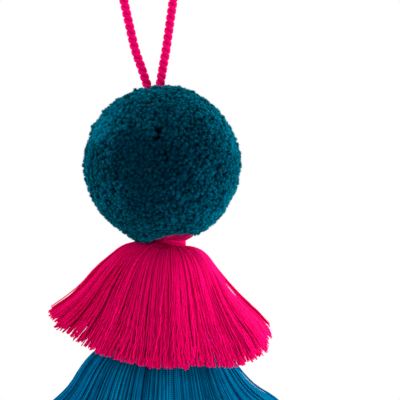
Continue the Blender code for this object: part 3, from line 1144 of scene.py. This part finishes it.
def add_yarn_ends(shape, ends, chosen, rng):
    back, width, depth = np.array(END_RINGS).T
    heading, lean = ends.heading[chosen], ends.lean[chosen]
    tip = POMPOM_CENTRE + heading * ends.reach[chosen][:, None]
    centres = tip[:, None] - lean[:, None] * back[None, :, None]
    widths = ends.radius[chosen][:, None] * width
    rough = np.clip(rng.normal(1, 0.09, (*widths.shape, END_SIDES)), 0.6, 1.4)
    aside = np.where(np.abs(lean[:, 2:]) < 0.9, UP, DEPTH)
    outward = np.broadcast_to(unit(np.cross(lean, aside))[:, None], centres.shape)
    depth = np.broadcast_to(depth, widths.shape)
    add_tubes(shape, centres, widths, outward, END_SIDES, ends.tone[chosen], depth, rough)


FUZZ_WIDTH = 0.00014


def add_fuzz(shape, ends, chosen, each, rng):
    """Loose fibres that splay out of the yarn ends."""
    pick = np.repeat(np.flatnonzero(chosen), each)
    count = len(pick)
    lean = ends.lean[pick]
    tip = POMPOM_CENTRE + ends.heading[pick] * ends.reach[pick][:, None]
    aside = unit(np.cross(lean, rng.normal(0, 1, (count, 3))))
    share = np.sqrt(rng.random(count))
    splay = (0.15 + 0.75 * share) * rng.uniform(0.5, 1.3, count)
    heading = unit(lean + aside * splay[:, None])
    ahead = np.where(rng.random(count) < 0.06, rng.uniform(0, 0.0004, count), 0)
    ahead -= 0.0006 * share**2 * rng.uniform(0.3, 1, count)
    roots = tip + aside * (ends.radius[pick] * share * 0.6)[:, None] - lean * 0.0013
    tips = roots + heading * (0.0014 + ahead)[:, None]
    tone = np.clip(ends.tone[pick] + rng.uniform(-0.25, 0.25, count), 0, 1)
    # Painted shade: each hair is darker at its root and towards the outside of its tuft
    depths = np.stack([np.full(count, 0.35), 1 - 0.6 * share**1.5])
    add_spikes(shape, roots, tips, FUZZ_WIDTH, tone, depths)


CORE_RINGS = 64
CORE_SIDES = 120
CORE_REACH = 0.0319
CORE_UNEVEN = 0.0003


def add_core(shape, rng):
    """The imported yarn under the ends, as one uneven ball."""
    polar = np.linspace(0.02, np.pi - 0.02, CORE_RINGS)
    heading = round_axis(np.sin(polar)[:, None], even_turns(CORE_SIDES), np.cos(polar)[:, None])
    reach = CORE_REACH + rng.normal(0, CORE_UNEVEN, heading.shape[:2])
    open_part = np.zeros(reach.shape)
    for across, height, wide in HOLES:
        apart = POMPOM_RADIUS * np.linalg.norm(heading - front_heading(across, height), axis=2)
        open_part = np.maximum(open_part, np.exp(-((apart / wide) ** 2)))
    rows = POMPOM_CENTRE + heading * (reach - HOLE_DEPTH * open_part)[..., None]
    # Painted shade: the core is a dark tone with depth 0.4, down to 0 where the gaps open onto it
    add_skin(shape, rows, np.zeros(CORE_RINGS), 0.2, 0.4 * (1 - open_part))


# Stray pink fibres on the wool: where one lies in the front view, and which way it runs
STRAYS = (
    (-0.0164, -0.0988, 1.3),
    (-0.0200, -0.1036, 1.7),
    (-0.0055, -0.0819, 0.9),
    (-0.0060, -0.0858, 1.1),
    (-0.0019, -0.0792, 0.8),
    (0.0003, -0.0787, 2.6),
    (0.0251, -0.0930, 1.5),
    (0.0111, -0.0824, 0.4),
    (-0.0174, -0.0942, 0.1),
    (-0.0113, -0.0937, 2.4),
    (-0.0007, -0.1065, 0.7),
    (-0.0242, -0.1172, 1.9),
    (-0.0019, -0.1334, 0.9),
    (0.0300, -0.1063, 0.0),
)
STRAY_LENGTH = 0.0022
STRAY_RADIUS = 0.00004
STRAY_POINTS = 7


def add_strays(shape, rng):
    rows = []
    for across, height, angle in STRAYS:
        heading = front_heading(across, height)
        level = unit(np.cross(heading, UP))
        upright = np.cross(level, heading)
        step = np.linspace(-0.5, 0.5, STRAY_POINTS) * STRAY_LENGTH * rng.uniform(0.6, 1.2)
        curl = 0.0006 * np.sin(np.linspace(0, rng.uniform(3, 6), STRAY_POINTS))
        run = math.cos(angle) * level + math.sin(angle) * upright
        bend = np.cross(run, heading)
        line = heading * (POMPOM_RADIUS + 0.0002) + step[:, None] * run + curl[:, None] * bend
        rows.append(POMPOM_CENTRE + line)
    centres = np.array(rows)
    outward = np.broadcast_to(unit(centres - POMPOM_CENTRE), centres.shape)
    widths = np.full(centres.shape[:2], STRAY_RADIUS)
    add_tubes(shape, centres, widths, outward, 4, np.full(len(rows), 0.3), np.ones(widths.shape))


class CHARM_OT_add_binding(bpy.types.Operator):
    """Adds the thread wound round the neck"""

    bl_idname = "charm.add_binding"
    bl_label = "Neck binding"

    def execute(self, context):
        settings = context.scene.charm_binding
        rng = np.random.default_rng(SEED + 2)
        shape = Shape()
        for layer, inward in enumerate((0.0, UNDER_TURN)):
            steps = settings.turns * TURN_STEPS
            turn = np.linspace(0, 2 * np.pi * settings.turns, steps)
            share = np.linspace(-0.5, 0.5, steps) * (1 if layer == 0 else -1)
            spread = BAND_HEIGHT - 2 * settings.half_width
            wander = 0.00012 * np.sin(turn * 0.7 + layer) + 0.00008 * np.sin(turn * 2.3)
            height = BAND_MIDDLE + share * spread + wander
            radius = BAND_RADIUS - settings.half_width - inward + 0.00006 * np.sin(turn * 3.1)
            height -= np.cos(turn) * radius * math.tan(BAND_TILT)
            centres = round_axis(radius, turn, height)
            outward = unit(centres * (1, 1, 0))
            widths = np.full((1, steps), settings.half_width)
            tone = rng.random(1)
            centres = centres + NECK * (1, 1, 0)
            add_tubes(shape, centres[None], widths, outward[None], 8, tone, np.ones((1, steps)))
        finish = fibre_material("pink binding thread", PINK_BINDING, NECK_THREAD_PITCH)
        put(shape.make("neck_binding_thread", finish), "neck_binding")
        return {"FINISHED"}


# The head above the binding: how far left and right of the neck's axis, half its
# depth, and height
KNOB = (
    (-0.0085, 0.0060, 0.0058, -0.1384),
    (-0.0090, 0.0062, 0.0060, -0.1374),
    (-0.0092, 0.0066, 0.0064, -0.1364),
    (-0.0093, 0.0082, 0.0080, -0.1356),
    (-0.0096, 0.0093, 0.0093, -0.1350),
    (-0.0098, 0.0099, 0.0099, -0.1343),
    (-0.0096, 0.0096, 0.0096, -0.1335),
    (-0.0070, 0.0070, 0.0070, -0.1327),
    (-0.0030, 0.0030, 0.0030, -0.1322),
)
KNOB_THREADS = 120
KNOB_RINGS = 15
KNOB_LAYERS = 0.0007  # how deep its threads lie over each other
KNOB_SLANT = 0.7  # how far round a thread goes while it climbs, in radians


def add_knob(shape, rng):
    """Threads that swell out above the binding and fold in under the wool."""
    share = np.linspace(0, 1, len(KNOB))
    fine = np.linspace(0, 1, KNOB_RINGS)
    left, right, deep, height = (np.interp(fine, share, row) for row in np.array(KNOB).T)
    turn = spaced_turns(KNOB_THREADS, rng, 0.5)
    azimuth = turn[:, None] + KNOB_SLANT * fine
    inset = rng.uniform(0, KNOB_LAYERS, (KNOB_THREADS, 1))
    across = (left + right) / 2 + ((right - left) / 2 - inset) * np.cos(azimuth)
    depthwise = (deep - inset) * np.sin(azimuth)
    height = np.broadcast_to(height, azimuth.shape)
    centres = np.stack([across, depthwise, height], axis=-1)
    outward = unit(centres * (1, 1, 0) + 1e-9)
    widths = np.full(azimuth.shape, NECK_THREAD_RADIUS)
    # Painted shade: threads laid deeper under the others are darker
    depth = np.broadcast_to(0.8 - 0.6 * inset / KNOB_LAYERS, azimuth.shape)
    tone = 0.6 * rng.random(KNOB_THREADS)
    add_tubes(shape, centres + NECK * (1, 1, 0), widths, outward, 5, tone, depth)


HEAD_SIDES = 60
HEAD_SHARES = (0.0, 0.05, 0.10, 0.17, 0.25)  # of a thread's length, where a ring lies
HEAD_INSET = 0.0014
HEAD_DROP = 0.002  # of the middle of its underside
HEAD_RUN = 0.03
HEAD_TONE = 0.2


def add_head(shape, skirt):
    """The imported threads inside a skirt's head, as one closed body."""
    columns = fall_columns(skirt)
    turn = crowded(even_turns(HEAD_SIDES))
    rows = []
    for share in HEAD_SHARES:
        points, outward = on_surface(columns, turn, np.full(HEAD_SIDES, share))
        rows.append(points - outward * HEAD_INSET + skirt.start)
    rows.append(rows[-1] * (0.5, 0.5, 1) + skirt.start * (0.5, 0.5, 0) - (0, 0, HEAD_DROP))
    # Painted shade: a dark body with a low depth, standing in for the shade inside the skirt's head
    add_skin(shape, np.array(rows), np.linspace(0, HEAD_RUN, len(rows)), HEAD_TONE, 0.25)


class CHARM_OT_add_upper_skirt(bpy.types.Operator):
    """Adds the pink upper skirt: its head, its inner threads and its outer ones"""

    bl_idname = "charm.add_upper_skirt"
    bl_label = "Upper skirt"

    def execute(self, context):
        settings = context.scene.charm_skirts
        rng = np.random.default_rng(SEED + 3)
        finish = fibre_material("pink cotton thread", PINK_THREAD, settings.upper_pitch)
        shape = Shape()
        lay_threads(shape, UPPER, UPPER_OUTER, rng)
        put(shape.make("upper_skirt_threads", finish), "upper_tassel")
        shape = Shape()
        lay_threads(shape, UPPER, UPPER_INNER, rng)
        add_head(shape, UPPER)
        put(shape.make("upper_skirt_inner_threads", finish), "upper_tassel")
        shape = Shape()
        add_knob(shape, rng)
        finish = fibre_material("pink head thread in painted shade", PINK_HEAD_IN_SHADE, NECK_THREAD_PITCH)
        put(shape.make("neck_head_threads", finish), "upper_tassel")
        return {"FINISHED"}


class CHARM_OT_add_lower_skirt(bpy.types.Operator):
    """Adds the blue lower skirt: its bound stem, its head and its threads"""

    bl_idname = "charm.add_lower_skirt"
    bl_label = "Lower skirt"

    def execute(self, context):
        settings = context.scene.charm_skirts
        rng = np.random.default_rng(SEED + 4)
        finish = fibre_material("blue cotton thread", BLUE_THREAD, settings.lower_pitch)
        shape = Shape()
        lay_threads(shape, LOWER, LOWER_OUTER, rng, sides=4)
        put(shape.make("lower_skirt_threads", finish), "lower_tassel")
        shape = Shape()
        lay_threads(shape, LOWER, LOWER_INNER, rng)
        add_head(shape, LOWER)
        add_stem(shape, rng)
        put(shape.make("lower_skirt_inner_threads", finish), "lower_tassel")
        return {"FINISHED"}


STEM_THREADS = 40
STEM_RADIUS = 0.0030
STEM_TOP = 0.0265
STEM_RINGS = 9
STEM_SLANT = 0.4
STEM_FLARE = 0.0022  # how much wider its foot is
STEM_LAYERS = 0.0006


def add_stem(shape, rng):
    """The lower skirt's threads where they run up to the upper head."""
    fine = np.linspace(0, 1, STEM_RINGS)
    turn = spaced_turns(STEM_THREADS, rng)
    azimuth = turn[:, None] + STEM_SLANT * fine
    level = STEM_RADIUS + STEM_FLARE * (1 - ease(0, 0.35, fine))
    level = level - rng.uniform(0, STEM_LAYERS, (STEM_THREADS, 1))
    centres = round_axis(level, azimuth, fine * STEM_TOP)
    centres += (NECK - LOWER_NECK) * (1, 1, 0) * fine[None, :, None]
    outward = unit(centres * (1, 1, 0))
    widths = np.full(azimuth.shape, NECK_THREAD_RADIUS)
    # Painted shade: the stem's threads keep a depth of 0.6, darker where they run up inside
    tone, depth = rng.random(STEM_THREADS), np.full(azimuth.shape, 0.6)
    add_tubes(shape, centres + LOWER_NECK, widths, outward, 5, tone, depth)


FLOOR_RADIUS = 6.5
FLOOR_SIDES = 96
# Soft lamps: name, place, side in metres, power in watts, and the tint of its light
LAMPS = (
    ("right key", (0.84, -0.06, 0.02), 1.2, 4.7, (0.97, 1.0, 1.10)),
    ("right rim", (0.60, 0.55, 0.10), 0.6, 3.5, (1.0, 1.0, 1.0)),
    ("right low", (0.58, -0.18, -0.45), 0.5, 3.9, (0.97, 1.0, 1.10)),
    ("left fill", (-0.70, -0.50, 0.40), 0.9, 5.9, (0.92, 0.97, 1.08)),
    ("left rim", (-0.70, 0.35, 0.25), 0.6, 4.5, (0.88, 0.95, 1.12)),
)
LAMP_AIM = (0.0, 0.0, -0.14)
SKY_FRONT = 0.38
SKY_BACK = 1.45
BACKDROP_LIGHT = 1.0


class CHARM_OT_add_stage(bpy.types.Operator):
    """Adds the camera, the plain floor, the lamps and the white surroundings"""

    bl_idname = "charm.add_stage"
    bl_label = "Stage"

    def execute(self, context):
        settings = context.scene.charm_stage
        add_camera(context)
        floor = add_floor(settings)
        for name, place, side, power, tint in LAMPS:
            lamp = bpy.data.lights.new(name, "AREA")
            lamp.shape = "DISK"
            lamp.size = side
            lamp.energy = power * settings.light
            lamp.color = tint
            holder = bpy.data.objects.new(name, lamp)
            holder.location = place
            aim = Vector(LAMP_AIM) - Vector(place)
            holder.rotation_euler = aim.to_track_quat("-Z", "Y").to_euler()
            context.scene.collection.objects.link(holder)
        add_surroundings(context)
        context.scene.view_settings.view_transform = "Standard"
        return {"FINISHED"}


def add_camera(context):
    camera = bpy.data.cameras.new("camera")
    camera.sensor_width = SENSOR
    camera.lens = SENSOR * DISTANCE / FRAME_SIDE
    camera.dof.use_dof = False
    holder = bpy.data.objects.new("camera", camera)
    holder.location = Vector(AIM) - Vector((0.0, DISTANCE, 0.0))
    holder.rotation_euler = (math.pi / 2, 0.0, 0.0)
    context.scene.collection.objects.link(holder)
    context.scene.camera = holder


def add_floor(settings):
    mesh = bpy.data.meshes.new("pale_floor")
    corners = round_axis(FLOOR_RADIUS, even_turns(FLOOR_SIDES), settings.floor_height)
    mesh.from_pydata(corners.tolist(), [], [range(FLOOR_SIDES)])
    finish = bpy.data.materials.new("pale floor")
    finish.use_nodes = True
    tree = finish.node_tree
    shader = tree.nodes["Principled BSDF"]
    shader.inputs["Roughness"].default_value = 0.8
    noise = named(tree, "ShaderNodeTexNoise", "Faint unevenness")
    noise.inputs["Scale"].default_value = 3.0
    tint = named(tree, "ShaderNodeMix", "Floor colour")
    tint.data_type = "RGBA"
    tint.inputs[6].default_value = (*settings.floor_colour, 1)
    tint.inputs[7].default_value = (*(0.98 * part for part in settings.floor_colour), 1)
    join(tree, noise.outputs["Fac"], tint.inputs["Factor"])
    join(tree, tint.outputs[2], shader.inputs["Base Color"])
    mesh.materials.append(finish)
    floor = bpy.data.objects.new("pale_floor", mesh)
    bpy.context.scene.collection.objects.link(floor)
    return floor


def add_surroundings(context):
    """White surroundings, which light the charm less than they show behind it."""
    world = bpy.data.worlds.new("white surroundings")
    context.scene.world = world
    world.use_nodes = True
    tree = world.node_tree
    tree.nodes.clear()
    path = named(tree, "ShaderNodeLightPath", "Seen or lighting")
    seen = named(tree, "ShaderNodeBackground", "Backdrop")
    seen.inputs["Strength"].default_value = BACKDROP_LIGHT
    seen.inputs["Color"].default_value = (1, 1, 1, 1)
    light = named(tree, "ShaderNodeBackground", "Sky light")
    light.inputs["Color"].default_value = (1, 1, 1, 1)
    place = named(tree, "ShaderNodeTexCoord", "Direction")
    parts = named(tree, "ShaderNodeSeparateXYZ", "Front to back")
    level = named(tree, "ShaderNodeMapRange", "Dim in front")
    level.interpolation_type = "SMOOTHSTEP"
    level.inputs["From Min"].default_value = -1.0
    level.inputs["From Max"].default_value = 0.1
    level.inputs["To Min"].default_value = SKY_FRONT
    level.inputs["To Max"].default_value = SKY_BACK
    join(tree, place.outputs["Generated"], parts.inputs[0])
    join(tree, parts.outputs["Y"], level.inputs["Value"])
    join(tree, level.outputs[0], light.inputs["Strength"])
    mix = named(tree, "ShaderNodeMixShader", "Surroundings")
    out = named(tree, "ShaderNodeOutputWorld", "World")
    join(tree, path.outputs["Is Camera Ray"], mix.inputs["Fac"])
    join(tree, light.outputs[0], mix.inputs[1])
    join(tree, seen.outputs[0], mix.inputs[2])
    join(tree, mix.outputs[0], out.inputs["Surface"])


class CHARM_PT_parts(bpy.types.Panel):
    """The charm's pieces and their settings"""

    bl_idname = "CHARM_PT_parts"
    bl_label = "Pompom charm"
    bl_space_type = "VIEW_3D"
    bl_region_type = "UI"
    bl_category = "Charm"

    def draw(self, context):
        for settings, operators in PANEL_ROWS:
            box = self.layout.box()
            group = getattr(context.scene, settings)
            for name in group.__annotations__:
                box.prop(group, name)
            for operator in operators:
                box.operator(operator)


GROUPS = {
    "charm_cord": CordSettings,
    "charm_pompom": PompomSettings,
    "charm_binding": BindingSettings,
    "charm_skirts": SkirtSettings,
    "charm_stage": StageSettings,
}
PANEL_ROWS = (
    ("charm_cord", ("charm.add_cord",)),
    ("charm_pompom", ("charm.add_pompom",)),
    ("charm_binding", ("charm.add_binding",)),
    ("charm_skirts", ("charm.add_upper_skirt", "charm.add_lower_skirt")),
    ("charm_stage", ("charm.add_stage",)),
)
CLASSES = (
    *GROUPS.values(),
    CHARM_OT_add_cord,
    CHARM_OT_add_pompom,
    CHARM_OT_add_binding,
    CHARM_OT_add_upper_skirt,
    CHARM_OT_add_lower_skirt,
    CHARM_OT_add_stage,
    CHARM_PT_parts,
)


def register():
    for made in CLASSES:
        bpy.utils.register_class(made)
    for name, group in GROUPS.items():
        setattr(bpy.types.Scene, name, bpy.props.PointerProperty(type=group))


def unregister():
    for name in GROUPS:
        delattr(bpy.types.Scene, name)
    for made in reversed(CLASSES):
        bpy.utils.unregister_class(made)


def main():
    register()
    bpy.ops.charm.add_stage()
    bpy.ops.charm.add_cord()
    bpy.ops.charm.add_pompom()
    bpy.ops.charm.add_binding()
    bpy.ops.charm.add_upper_skirt()
    bpy.ops.charm.add_lower_skirt()


if __name__ == "__main__":
    main()
